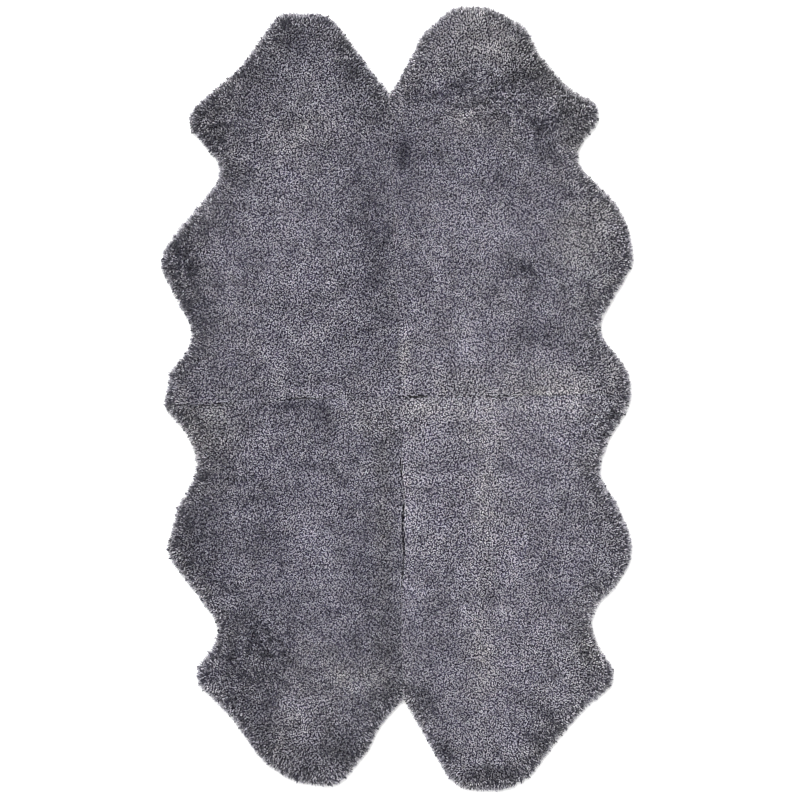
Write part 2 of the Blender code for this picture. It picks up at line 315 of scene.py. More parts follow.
TONE_AND_SHADE_PATCHES["pelt_top_right"] = [
    ("neck", 210, 825, 90, 75, 0.06, 0.5),
    ("tip of the neck", 172, 902, 54, 22, 0.10, 0.1),
    ("cheek", 380, 780, 90, 70, -0.02, 0.5),
    ("throat", 345, 757, 70, 28, -0.16, 0.1),
    ("crease of the neck", 215, 732, 70, 16, -0.13, 0.0),
    ("crease by the spine", 98, 708, 60, 18, -0.14, 0.0),
    ("spot on the foreleg", 372, 702, 24, 24, 0.14, 0.0),
    ("withers", 180, 655, 88, 34, 0.13, 0.5),
    ("hollow of the withers", 256, 620, 28, 22, -0.10, 0.2),
    ("foreleg", 430, 640, 50, 70, -0.05, 0.4),
    ("side of the armpit", 440, 580, 26, 32, -0.10, 0.1),
    ("spot by the spine", 13, 580, 21, 42, -0.32, -0.1),
    ("round the spot", 45, 570, 66, 84, -0.10, -0.1),
    ("shoulder", 232, 525, 36, 30, -0.14, 0.0),
    ("spot on the shoulder", 284, 528, 17, 21, 0.14, 0.0),
    ("armpit", 338, 584, 30, 28, -0.14, 0.0),
    ("behind the armpit", 335, 500, 54, 24, -0.10, 0.0),
    ("edge of the armpit", 430, 606, 26, 28, -0.10, 0.0),
    ("back", 190, 398, 90, 65, 0.10, -0.1),
    ("flank", 440, 368, 65, 95, 0.10, 0.6),
    ("upper edge of the flank", 500, 452, 32, 60, 0.07, 0.2),
    ("hollow of the flank", 300, 302, 45, 30, -0.12, 0.0),
    ("hollow of the hip", 326, 150, 46, 30, -0.14, 0.0),
    ("loin", 190, 150, 60, 90, 0.09, 0.0),
    ("dark flank's edge", 465, 232, 28, 28, -0.10, 0.1),
    ("streak by the spine", 19, 92, 16, 60, 0.12, 0.5),
    ("root of the tail", 160, 34, 100, 34, 0.08, 0.35),
    ("hind leg", 390, 45, 120, 38, 0.10, 0.4),
    ("along the cross seam", 372, 10, 100, 15, 0.22, 0.5),
    ("hind leg's edge", 528, 36, 30, 40, 0.10, 0.1),
]
TONE_AND_SHADE_PATCHES["pelt_bottom_left"] = [
    ("hind leg", -440, -80, 100, 85, -0.01, 0.5),
    ("shadow of the cross seam", -262, -17, 62, 12, -0.18, 0.0),
    ("dark spot at the cross seam", -176, -24, 13, 26, -0.28, 0.0),
    ("hollow of the rump", -215, -75, 50, 40, -0.07, 0.1),
    ("leg by the cross seam", -440, -38, 44, 22, 0.06, 0.2),
    ("hind leg's edge", -528, -85, 24, 55, -0.12, 0.1),
    ("root of the tail", -68, -40, 70, 34, 0.09, 0.55),
    ("rump by the spine", -64, -160, 50, 40, -0.02, 0.2),
    ("flank", -440, -290, 62, 110, -0.12, 0.1),
    ("flank's edge", -492, -333, 34, 95, -0.14, 0.2),
    ("back", -204, -309, 50, 100, 0.08, -0.1),
    ("small of the back", -156, -404, 32, 60, 0.08, 0.0),
    ("furrow of the back", -302, -290, 34, 76, -0.16, 0.0),
    ("hollow of the flank", -335, -395, 34, 34, -0.09, 0.0),
    ("furrow by the spine", -88, -405, 30, 110, -0.12, 0.0),
    ("spine", -30, -270, 24, 250, -0.03, 0.45),
    ("lower spine", -30, -570, 36, 120, -0.15, 0.3),
    ("shoulder", -325, -598, 88, 84, -0.155, 0.15),
    ("withers", -200, -640, 180, 80, 0.0, 0.25),
    ("light throat", -254, -730, 36, 32, 0.21, 0.1),
    ("dark throat", -322, -640, 40, 26, -0.07, 0.1),
    ("corner at the lower spine", -42, -660, 26, 32, 0.09, 0.2),
    ("inner throat", -122, -664, 54, 48, 0.11, 0.3),
    ("neck", -220, -800, 130, 90, -0.02, 0.35),
    ("inner side of the neck", -132, -818, 52, 44, -0.22, 0.0),
    ("outer side of the neck", -328, -768, 42, 70, -0.20, 0.0),
]
TONE_AND_SHADE_PATCHES["pelt_bottom_right"] = [
    ("corner at the middle", 56, -26, 64, 32, 0.11, 0.5),
    ("along the cross seam", 220, -15, 190, 18, 0.11, 0.2),
    ("rump", 200, -60, 110, 60, 0.07, 0.2),
    ("along the spine", 32, -195, 22, 180, 0.15, 0.1),
    ("leg along the cross seam", 430, -24, 90, 26, 0.17, 0.1),
    ("furrow by the spine", 122, -125, 34, 60, -0.06, 0.0),
    ("upper band of the back", 208, -235, 36, 190, 0.10, 0.35),
    ("lower band of the back", 200, -610, 32, 150, 0.06, 0.4),
    ("flank", 400, -110, 80, 80, 0.04, 0.0),
    ("hollow of the flank", 360, -385, 56, 90, -0.09, 0.0),
    ("belly's edge", 455, -300, 50, 60, -0.07, 0.1),
    ("hollow by the lower spine", 96, -475, 36, 50, -0.08, 0.0),
    ("hollow of the shoulder", 100, -562, 50, 50, -0.10, 0.0),
    ("cheek", 338, -750, 66, 62, -0.09, 0.1),
    ("root of the neck", 66, -690, 38, 62, -0.19, 0.0),
    ("foreleg", 425, -600, 60, 80, -0.02, 0.35),
    ("inner side of the neck", 108, -820, 34, 66, -0.20, 0.0),
    ("outer side of the neck", 360, -803, 50, 50, -0.11, 0.1),
    ("tip of the neck", 240, -886, 66, 30, -0.28, 0.2),
]
print("patches of tone", sum(len(rows) for rows in TONE_AND_SHADE_PATCHES.values()))

# %% [markdown]
# ## Creases
#
# Where the wool was combed or folded it parts in fine creases, whose darkness is painted shade. A crease
# follows the places where a smooth noise is nearly zero, which is a thin wandering line. In the places of
# the table below the noise is stretched along a heading, so the creases there run side by side.

# %% Creases
CREASE_SIZE = 24.0          # bends of the creases, in millimetres
CREASE_WIDTH = 0.09         # as a share of the noise that they follow
CREASE_SPREAD = 80.0        # size of the places that have creases, in millimetres
CREASE_RIM = 110.0          # creases are clearest this near the rim
CREASE_START, CREASE_SLOPE = 0.5, 1.8   # which places have creases, as a line over noise of that size
CREASE_INNER = 0.35         # far from the rim they are this clear
CREASE_SHADE = 0.26          # painted shade that the clearest crease takes off the light
COMBED_WIDTH = 0.13         # combed creases are wider
COMBED_SHADE = 2.1           # and their painted shade is this many times as dark
CREASE_SHAPE = (1 / 50.0, 1 / 19.0)     # a combed crease is this long and this far from the next, in mm
# place, x, y, reach across, reach along, heading of the creases in degrees
COMBED_PLACES = [
    ("top right: neck", 215, 712, 150, 70, 14),
    ("top right: side of the neck", 340, 660, 90, 70, 30),
    ("top right: hollow of the flank", 305, 290, 50, 46, 20),
    ("top left: foreleg", -430, 640, 60, 70, 60),
    ("top left: flank", -505, 320, 36, 90, 75),
    ("bottom left: shoulder", -330, -600, 80, 90, -35),
    ("bottom right: hind leg", 490, -60, 60, 60, 10),
]
print("combed places", len(COMBED_PLACES))


def fading(distance, reach):
    """1 at no distance, a third at the reach and nothing far beyond it."""
    return np.exp(-((distance / reach) ** 2))


def rotated(x, y, turn):
    """Places turned anticlockwise by an angle."""
    return x * np.cos(turn) - y * np.sin(turn), x * np.sin(turn) + y * np.cos(turn)


def mottled(places, size, layer):
    """Smooth noise from about -1 to 1 at each place, with patches of a size in millimetres."""
    return np.array([noise.noise((x / MM / size, y / MM / size, layer + size)) for x, y in places[:, :2]])


def oval(places, middle_x, middle_y, across, along):
    """How much each place in metres belongs to a soft oval given in millimetres, from 0 to 1."""
    x, y = places[:, 0] / MM, places[:, 1] / MM
    return np.exp(-(((x - middle_x) / across) ** 2) - ((y - middle_y) / along) ** 2)


def combed(places):
    """How much the wool was combed at each place, from 0 to 1."""
    return np.max([oval(places, *row[1:5]) for row in COMBED_PLACES], axis=0)


def creases(places, rim_distance):
    """How much each place lies in a fine wandering crease of the wool, from 0 to 1."""
    line = fading(mottled(places, CREASE_SIZE, 200.0), CREASE_WIDTH)
    somewhere = np.clip(CREASE_START + CREASE_SLOPE * mottled(places, CREASE_SPREAD, 230.0), 0, 1)
    near_rim = fading(rim_distance / MM, CREASE_RIM)
    found = line * somewhere * (CREASE_INNER + (1 - CREASE_INNER) * near_rim)
    for _, *area, heading in COMBED_PLACES:
        run, step = rotated(places[:, 0] / MM, places[:, 1] / MM, -math.radians(heading))
        stretched = np.column_stack([run * CREASE_SHAPE[0], step * CREASE_SHAPE[1]]) * MM
        rows = fading(mottled(stretched, 1.0, 260.0), COMBED_WIDTH)
        found = np.maximum(found, COMBED_SHADE * oval(places, *area) * rows)
    return found


# %% Tone of the wool
EYE_POWER = 2.2
PATCH_STRENGTH = 1.08
LEAST_LIGHT = 0.3
# size in millimetres, lighter, warmer
MOTTLES = [(62.0, 0.12, 0.20), (29.0, 0.15, 0.20), (14.0, 0.17, 0.10)]
COOLER_WHEN_DARKER = 0.6             # where patches and mottles of tone or painted shade darken the wool, it is cooler by this share
EDGE_LIGHT, EDGE_REACH = -0.08, 52.0            # the wool darkens towards the rim, over millimetres,
EDGE_WARMTH, WARMTH_REACH = 0.34, 60.0          # and turns browner over a wider strip


def tones(pelt, places, rim_distance):
    """What to scale the wool's colour by at points in metres, and how warm it is there."""
    light = np.full(len(places), PELT_TONES[pelt][0])
    warmth = np.full(len(places), PELT_TONES[pelt][1])
    # the patches add the wool's tone, and also painted light and shade
    for _, *area, lighter, warmer in TONE_AND_SHADE_PATCHES[pelt]:
        share = oval(places, *area)
        light += PATCH_STRENGTH * lighter * share
        warmth += warmer * share
    for size, lighter, warmer in MOTTLES:
        light += lighter * mottled(places, size, 0.0)
        warmth += warmer * mottled(places, size, 50.0)
    # where tone or painted shade darkens the wool, it turns cooler
    warmth += COOLER_WHEN_DARKER * (light - PELT_TONES[pelt][0])
    # painted shade: the creases darken the wool
    light -= CREASE_SHADE * creases(places, rim_distance)
    light += EDGE_LIGHT * fading(rim_distance / MM, EDGE_REACH)
    warmth += EDGE_WARMTH * fading(rim_distance / MM, WARMTH_REACH)
    return np.clip(light, LEAST_LIGHT, None) ** EYE_POWER, np.clip(warmth, 0.0, 1.0)


# %% [markdown]
# ## Reading the pelts
#
# The CAD mesh of a pelt is loose triangles, so a copy of it is merged before anything is measured. The
# skin's outline is the ring of edges where the flat underside ends. The parts of it that lie against
# another pelt are seams, and the rest is rim, where the wool hangs over the skin's edge.


# %% Outline of a skin
NEAR_FLOOR = 0.1 * MM       # anything lower than this lies on the floor
SAME_PLACE = 0.01 * MM


def merged_copy(node):
    mesh = bmesh.new()
    mesh.from_mesh(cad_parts[node].data)
    bmesh.ops.remove_doubles(mesh, verts=mesh.verts, dist=SAME_PLACE)
    return mesh


def ring_area(ring):
    ahead = np.roll(ring, -1, axis=0)
    return 0.5 * np.sum(ring[:, 0] * ahead[:, 1] - ahead[:, 0] * ring[:, 1])


def skin_ring(mesh):
    """The corners of the skin's outline in order, anticlockwise seen from above."""
    flat = {face for face in mesh.faces
            if face.normal.z < -0.99 and face.calc_center_median().z < NEAR_FLOOR}
    outline = [edge for edge in mesh.edges if len(flat.intersection(edge.link_faces)) == 1]
    on_outline = set(outline)
    ring = list(outline[0].verts)
    while ring[-1] != ring[0]:
        edge = next(e for e in ring[-1].link_edges if e in on_outline and e.other_vert(ring[-1]) != ring[-2])
        ring.append(edge.other_vert(ring[-1]))
    places = np.array([corner.co.xy for corner in ring[:-1]])
    return places if ring_area(places) > 0 else places[::-1]


# %% Points along an outline
RING_STEP = 2.0 * MM        # spacing of the points that distances are measured to


def spaced_ring(ring):
    """Evenly spaced points along an outline, and the direction out of the pelt at each."""
    closed = np.vstack([ring, ring[:1]])
    reached = np.concatenate([[0.0], np.cumsum(np.linalg.norm(np.diff(closed, axis=0), axis=1))])
    along = np.arange(0.0, reached[-1], RING_STEP)
    points = np.column_stack([np.interp(along, reached, closed[:, axis]) for axis in (0, 1)])
    heading = np.roll(points, -3, axis=0) - np.roll(points, 3, axis=0)
    outward = np.column_stack([heading[:, 1], -heading[:, 0]])
    return points, outward / np.linalg.norm(outward, axis=1)[:, None]


def nearest(places, targets):
    """The nearest target to each place, seen from above, and how far away it is."""
    tree = KDTree(len(targets))
    for index, target in enumerate(targets):
        tree.insert((target[0], target[1], 0.0), index)
    tree.balance()
    found = [tree.find((place[0], place[1], 0.0))[1:] for place in places]
    return np.array([index for index, _ in found]), np.array([distance for _, distance in found])


# %% Measure each pelt
SEAM_REACH = 1.6 * MM       # outlines of two pelts this close together are a seam

solids = {pelt: merged_copy(pelt) for pelt in PELTS}
rings = {pelt: skin_ring(solids[pelt]) for pelt in PELTS}
outlines = {pelt: spaced_ring(rings[pelt]) for pelt in PELTS}
surfaces = {pelt: BVHTree.FromBMesh(solids[pelt]) for pelt in PELTS}
on_seam = {}
for pelt in PELTS:
    others = np.concatenate([outlines[other][0] for other in PELTS if other != pelt])
    on_seam[pelt] = nearest(outlines[pelt][0], others)[1] < SEAM_REACH
    seam_length = on_seam[pelt].sum() * RING_STEP
    print(pelt, "skin", round(ring_area(rings[pelt]), 3), "m2, sewn along", round(seam_length, 2), "m")

# %% [markdown]
# ## Skins
#
# Under the wool is the skin, about a millimetre and a half of soft suede. It could be left out, as nobody
# sees it from above, but a rug is picked up and turned over. Each skin starts as one face on the pelt's
# outline. It is inset, so the strip along its edges can rise a little where the seam is sewn, and then
# made solid. The suede shows faint vein lines and a speckle of pores.

# %% Suede
CLOUD_SCALE, WRINKLE_SCALE, NAP_SCALE = 9.0, 60.0, 900.0    # noise in three sizes, the last the finest
NAP_LOW, NAP_RISE = 0.85, 0.3           # light in the nap's hollows, and how much more there is on it
WRINKLE_DEPTH = 0.8 * MM
PALE_SUEDE = linear(206, 198, 184)
DARK_SUEDE = linear(176, 166, 152)


def suede_finish():
    suede = Finish("suede", Roughness=0.9, Sheen_Weight=0.3, Sheen_Roughness=0.6)
    places = suede.places()
    clouds = suede.noise(places, CLOUD_SCALE, 4.0)
    nap = suede.noise(places, NAP_SCALE)
    wrinkles = suede.noise(places, WRINKLE_SCALE, 5.0)
    colour = suede.mix(clouds, DARK_SUEDE, PALE_SUEDE)
    suede.feed(suede.shader.inputs["Base Color"], suede.tinted(colour, NAP_LOW + NAP_RISE * nap))
    suede.bump(0.3 * nap + wrinkles, WRINKLE_DEPTH)
    return suede.material


SUEDE = suede_finish()
print("finish:", SUEDE.name)

# %% Skins
SKIN_THICKNESS = 1.6 * MM
SEAM_STRIP = 5.0 * MM
SEAM_RISE = 0.7 * MM        # the sewn edges lift this much, so the thread isn't pressed on the floor


def dressed(data, name, material):
    data.materials.append(material)
    piece = placed(name, data)
    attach(piece, "root")
    return piece


def finished(mesh, name, material):
    """Turns a bmesh into a piece that rides on the rug."""
    data = bpy.data.meshes.new(name)
    mesh.to_mesh(data)
    mesh.free()
    return dressed(data, name, material)


def skin(pelt):
    mesh = bmesh.new()
    corners = [mesh.verts.new((x, y, 0.0)) for x, y in rings[pelt]]
    sheet = mesh.faces.new(corners)
    bmesh.ops.inset_region(mesh, faces=[sheet], thickness=SEAM_STRIP, use_even_offset=True)
    bmesh.ops.solidify(mesh, geom=mesh.faces, thickness=-SKIN_THICKNESS)
    bmesh.ops.recalc_face_normals(mesh, faces=mesh.faces)
    edge_points = outlines[pelt][0][on_seam[pelt]]
    under = [corner for corner in mesh.verts if corner.co.z < NEAR_FLOOR]
    for corner, distance in zip(under, nearest([corner.co for corner in under], edge_points)[1]):
        if distance < SEAM_REACH:
            corner.co.z = SEAM_RISE
    bmesh.ops.triangulate(mesh, faces=mesh.faces)
    piece = finished(mesh, pelt.replace("pelt", "skin"), SUEDE)
    print(piece.name, len(piece.data.polygons), "triangles")
    return piece


skins = {pelt: skin(pelt) for pelt in PELTS}

# %% [markdown]
# ## Bed of wool
#
# Below the curls the wool is dense, and little light gets in, so its colour is darkened as painted shade.
# The bed takes the pelt's own form, a few millimetres smaller all round, so the curls can stand on it. It
# stands for the solid pelt.

# %% How far inside the rim
SKIRT = 9.0 * MM            # the wool hangs this far over the skin's rim


def rim_depth(pelt, places):
    """How far places are inside the wool's rim, seen from above, and the direction out of it."""
    points, outward = outlines[pelt]
    rim = ~on_seam[pelt]
    index, distance = nearest(places, points[rim])
    out = outward[rim][index]
    beyond = np.einsum("ij,ij->i", places[:, :2] - points[rim][index], out) > 0
    return np.where(beyond, -distance, distance) + SKIRT, out


# %% Wool beds
BED_DEPTH = 4.5 * MM        # the bed lies this far inside the wool's outer form,
FULL_DEPTH = 10 * MM        # from this height upwards, and less below it
SMOOTH_ABOVE = 5 * MM       # edges that reach above this are cut in two, to round the form
AT_SEAM = 1.0 * MM          # this close to a seam the bed only sinks a little, so no gap opens
SIDE_HEIGHT = 12 * MM       # below this the bed is a side of the rug, where its painted shade is lifted so it is as light as its top
SIDE_LIGHT = 2.6


def add_numbers(data, name, values):
    """Stores a number for each corner point of a mesh, or three of them."""
    kind, field = ("FLOAT", "value") if values.ndim == 1 else ("FLOAT_VECTOR", "vector")
    attribute = data.attributes.new(name, kind, "POINT")
    attribute.data.foreach_set(field, values.astype(np.float32).ravel())


def wool_bed(pelt):
    mesh = solids[pelt].copy()
    upper = [edge for edge in mesh.edges if max(corner.co.z for corner in edge.verts) > SMOOTH_ABOVE]
    bmesh.ops.subdivide_edges(mesh, edges=upper, cuts=1, smooth=0.6, use_grid_fill=True)
    bmesh.ops.triangulate(mesh, faces=mesh.faces)
    mesh.normal_update()
    seam = outlines[pelt][0][on_seam[pelt]]
    to_seam = nearest([corner.co for corner in mesh.verts], seam)[1]
    for corner, inward, distance in zip(mesh.verts, [-corner.normal for corner in mesh.verts], to_seam):
        if distance < AT_SEAM:
            inward = Vector((0.0, 0.0, -0.2))
        corner.co += inward * BED_DEPTH * min(1.0, corner.co.z / FULL_DEPTH)
        corner.co.z = max(corner.co.z, SKIN_THICKNESS - NEAR_FLOOR)
    piece = finished(mesh, pelt.replace("pelt", "wool_bed"), SHADED_BED_WOOL)
    piece.data.shade_smooth()
    places = np.array([corner.co for corner in piece.data.vertices])
    light, warmth = tones(pelt, places, rim_depth(pelt, places)[0])
    # the bed's painted shade is lifted on the sides of the rug
    light = light * (1 + (SIDE_LIGHT - 1) * np.clip(1 - places[:, 2] / SIDE_HEIGHT, 0, 1))
    add_numbers(piece.data, "light", light)
    add_numbers(piece.data, "warmth", warmth)
    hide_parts(pelt)
    print(piece.name, len(piece.data.polygons), "triangles")
    return piece


wool_beds = {pelt: wool_bed(pelt) for pelt in PELTS}

# %% [markdown]
# ## Tufts
#
# Every curl is a tuft: a thin tube that is pointed at both ends and arches out of the bed. There are tens
# of thousands of them, so each has only a few faces, and the curls of a pelt are one mesh. Modelling them
# one by one with operators would take minutes. So the points of all tufts are worked out together as
# arrays: along each tuft's path stand rings of three points, and a single point closes each end.
#
# The UV map gives every tuft a cell of its own, so that no two share a part of a baked picture.


# %% Faces of a tuft
SIDES = 3


def tuft_faces(rings_each):
    """Faces of one tuft as corner numbers, and the place of each corner in the tuft's UV cell."""
    def corner(ring, side):
        return 1 + ring * SIDES + side % SIDES

    last = rings_each - 1
    rows = rings_each + 1
    faces, places = [], []
    for side in range(SIDES):
        left, right, middle = side / SIDES, (side + 1) / SIDES, (side + 0.5) / SIDES
        faces.append([0, corner(0, side + 1), corner(0, side)])
        places.append([(middle, 0), (right, 1 / rows), (left, 1 / rows)])
        for ring in range(last):
            low, high = (ring + 1) / rows, (ring + 2) / rows
            faces.append([corner(ring, side), corner(ring, side + 1),
                          corner(ring + 1, side + 1), corner(ring + 1, side)])
            places.append([(left, low), (right, low), (right, high), (left, high)])
        faces.append([corner(last, side), corner(last, side + 1), 1 + rings_each * SIDES])
        places.append([(left, rings_each / rows), (right, rings_each / rows), (middle, 1)])
    return faces, places


# %% Joined tufts
TUFT_POINTS = 5             # points along a lock or a stitch. All but the two ends are rings
ROUND_SHADE = (0.46, 1.10, 0.46)    # painted shade: the wool is darker on the two sides that face down, and lighter on top
CELL_MARGIN = 0.08          # empty border of a tuft's UV cell, as a share of its width
STRAND_STEP = 3.0 * MM      # the noise of the fibres moves on by 1 over this length of a tuft,
SIDE_STEP, TUFT_STEP = 2.4, 1.7         # and by this much to its next side or to the next tuft


def joined_tufts(name, material, paths, ups, widths, light, warmth, grain=1.0):
    """One mesh of tufts. paths holds the points along each tuft, and widths its half width at each ring."""
    count, points_each = paths.shape[:2]
    rings_each = points_each - 2
    ahead = paths[:, 2:] - paths[:, :-2]
    ahead /= np.linalg.norm(ahead, axis=2)[:, :, None]
    side = np.cross(ups[:, None, :], ahead)
    side /= np.linalg.norm(side, axis=2)[:, :, None]
    up = np.cross(ahead, side)
    corners = np.empty((count, 2 + rings_each * SIDES, 3))
    corners[:, 0], corners[:, -1] = paths[:, 0], paths[:, -1]
    for number in range(SIDES):
        turn = math.tau * (number / SIDES) - math.pi / 6
        reach = math.cos(turn) * side + math.sin(turn) * up
        corners[:, 1 + number:-1:SIDES] = paths[:, 1:-1] + reach * widths[:, :, None]

    faces, places = tuft_faces(rings_each)
    per_tuft = np.concatenate(faces)
    loop_corners = (per_tuft + np.arange(count)[:, None] * corners.shape[1]).ravel()
    sizes = np.tile([len(face) for face in faces], count)
    data = bpy.data.meshes.new(name)
    data.vertices.add(count * corners.shape[1])
    data.vertices.foreach_set("co", corners.astype(np.float32).ravel())
    data.loops.add(len(loop_corners))
    data.loops.foreach_set("vertex_index", loop_corners.astype(np.int32))
    data.polygons.add(len(sizes))
    data.polygons.foreach_set("loop_start", np.concatenate([[0], np.cumsum(sizes)[:-1]]).astype(np.int32))
    data.update(calc_edges=True)
    data.shade_smooth()

    cells = math.ceil(math.sqrt(count))
    cell = np.column_stack([np.arange(count) % cells, np.arange(count) // cells])
    inner = CELL_MARGIN + (1 - 2 * CELL_MARGIN) * np.concatenate(places)
    uv = (cell[:, None, :] + inner[None, :, :]) / cells
    layer = data.uv_layers.new(name="OFBake")
    layer.uv.foreach_set("vector", uv.astype(np.float32).ravel())

    row = np.concatenate([[0], 1 + np.repeat(np.arange(rings_each), SIDES), [rings_each + 1]])
    # painted shade: the sides of a tuft that face down are darker
    shade = np.concatenate([[1.0], np.tile(ROUND_SHADE, rings_each), [1.0]])
    add_numbers(data, "light", (light[:, row] * shade).ravel())
    add_numbers(data, "warmth", np.repeat(warmth, corners.shape[1]))
    add_numbers(data, "grain", np.repeat(np.broadcast_to(grain, count), corners.shape[1]))
    travelled = np.linalg.norm(np.diff(paths, axis=1), axis=2).cumsum(axis=1)
    travelled = np.column_stack([np.zeros(count), travelled])[:, row] / STRAND_STEP
    around = np.concatenate([[0], np.tile(np.arange(SIDES), rings_each), [0]]) * SIDE_STEP
    strand = np.stack([travelled, np.tile(around, (count, 1)),
                       np.repeat(np.arange(count)[:, None] * TUFT_STEP, corners.shape[1], axis=1)], axis=2)
    add_numbers(data, "strand", strand.reshape(-1, 3))

    piece = dressed(data, name, material)
    data.calc_loop_triangles()
    print(name, count, "tufts,", len(data.loop_triangles), "triangles")
    return piece


# %% [markdown]
# ## How the curls lie
#
# The wool is short and springy, so its curls lie in slow swirls, with every curl a little off the swirl's
# direction. Towards the rim they turn outwards. They cover most of the seams, and where the wool falls
# open on a seam they run along it and stay off it: at two partings of the lower spine, and in a few
# shorter and finer ones on the cross seam.

# %% Headings of the curls
# length in millimetres, heading in degrees and strength of the waves that add up to the swirls
SWIRLS = [(171, 25, 1.3), (118, -60, 1.0), (83, 80, 0.8), (61, -15, 0.7), (47, 48, 0.5)]
SWAY_LENGTH, SWAY = 1.7, 1.9        # each wave is itself bent by one this many times as long, and this much


def swirl(places):
    """The direction that the curls lie in, as an angle at each place."""
    x, y = places[:, 0] / MM, places[:, 1] / MM
    angle = np.zeros(len(places))
    for length, heading, strength in SWIRLS:
        run, aside = rotated(x, y, -math.radians(heading))
        sway = np.sin(math.tau * -aside / (SWAY_LENGTH * length))
        angle += strength * np.sin(math.tau * (run / length) + SWAY * sway)
    return angle


def turned(angle, target, share):
    """An angle moved towards a target by a share, the short way for a line that has no arrowhead."""
    gap = (target - angle + math.pi / 2) % math.pi - math.pi / 2
    return angle + gap * share


# %% Partings
# seam, middle, half length and half width of each parting, in millimetres
PARTINGS = [
    ("spine", -162, 28, 0.9),
    ("spine", -306, 54, 1.5),
    ("spine", -420, 40, 0.5),
    ("cross", 48, 26, 1.3),
    ("cross", 230, 85, 0.6),
    ("cross", -240, 55, 0.5),
    ("cross", -428, 42, 0.8),
]
# how far a parting strays to either side of its seam, and over what length, in millimetres
WANDERS = [(7.0, 17.0), (3.5, 6.0)]


def beside_spine(off):
    """Whether the nearest seam runs along the rug, where off is the way to it."""
    return np.abs(off[:, 0]) > 0.7


def parting_width(places, off):
    """How far the wool stands off the seam beside each place, where off is the way to the seam."""
    width = np.zeros(len(places))
    for seam, middle, reach, wide in PARTINGS:
        along = places[:, 1] if seam == "spine" else places[:, 0]
        share = np.exp(-(((along / MM - middle) / reach) ** 4))
        width += wide * MM * share * (beside_spine(off) == (seam == "spine"))
    return width


def wander(places, off):
    """How far a parting strays towards each place, or from it where negative."""
    along = np.where(beside_spine(off), places[:, 1], places[:, 0]) / MM
    side = np.sign(np.where(beside_spine(off), off[:, 0], off[:, 1]))
    strays = [reach * MM * np.array([noise.noise((0.5, run / length, 7.0)) for run in along])
              for reach, length in WANDERS]
    return side * sum(strays)


# %% Shade in the partings
DEEP_SHADE = 0.85           # how much darker the bed is down in a parting,
SHADED_WIDTH, SHADE_REACH = 0.8 * MM, 6 * MM    # from this half width on, and over this far to its side


def darken_partings(pelt):
    """Down in a parting the bed is in deep shade."""
    data = wool_beds[pelt].data
    places = np.array([corner.co for corner in data.vertices])
    points, outward = outlines[pelt]
    index, distance = nearest(places, points[on_seam[pelt]])
    width = parting_width(places, outward[on_seam[pelt]][index])
    shade = 1 - DEEP_SHADE * np.clip(width / SHADED_WIDTH, 0, 1) * fading(distance, SHADE_REACH)
    light = np.array([number.value for number in data.attributes["light"].data])
    data.attributes["light"].data.foreach_set("value", (light * shade).astype(np.float32))


for pelt in PELTS:
    darken_partings(pelt)
print("shaded partings", len(PARTINGS))

# %% Places of the curls
HONEYCOMB_TURN = (0.2, 0.8)             # the rows of curls run askew, in radians
SCATTER = 0.33              # how far a curl strays from its place, as a share of their spacing


def wool_top(pelt, place):
    """The point of a pelt's wool above a place, and its slope, or None where there is no wool."""
    return surfaces[pelt].ray_cast(Vector((*place, 0.1)), Vector((0, 0, -1)))[:2]


def scattered(pelt, pitch, random):
    """Points of a loose honeycomb over a pelt's wool, with the slope of the wool at each."""
    low, high = rings[pelt].min(axis=0) - SKIRT, rings[pelt].max(axis=0) + SKIRT
    middle, reach = (low + high) / 2, np.linalg.norm(high - low) / 2
    x, y = np.meshgrid(np.arange(-reach, reach, pitch), np.arange(-reach, reach, pitch * math.sqrt(0.75)))
    x[1::2] += pitch / 2
    places = middle + np.column_stack(rotated(x.ravel(), y.ravel(), random.uniform(*HONEYCOMB_TURN)))
    places = places[np.all((places > low) & (places < high), axis=1)]
    places += random.uniform(-SCATTER, SCATTER, places.shape) * pitch
    hits = [wool_top(pelt, place) for place in places]
    spots, slopes = zip(*[(spot, slope) for spot, slope in hits if spot is not None])
    return np.array(spots), np.array(slopes)


# %% How the curls are laid
STRAY = 1.0                 # how far single curls turn from the swirl, in radians
RIM_STRAY = 0.35            # and from straight outwards at the rim
OUTWARD_REACH = 45 * MM     # from this far in, the curls begin to turn outwards,
OUTWARD_POWER = 0.7         # faster at first than at the rim
SEAM_DIP = 12 * MM          # the solid wool dips this close to a seam, and the curls level it up
LEVELLED, OPEN_DIP = 0.9, 0.6           # by this share, and this much less where a parting is open
STEEPEST = 0.45             # curls need a slope whose normal points up by this or more
CURL_ROOM = 2.0 * MM        # half the width that a curl takes up beside a parting
CLOSED_WIDTH, OPEN_WIDTH = 0.1 * MM, 1.2 * MM   # half widths where a parting starts, and is fully open
PARTING_TURN, MOST_TURN = 1.6, 0.9      # how soon and how far curls turn to run along it
STRAY_REACH = 8 * MM        # curls this close to a seam follow a parting that strays away from them


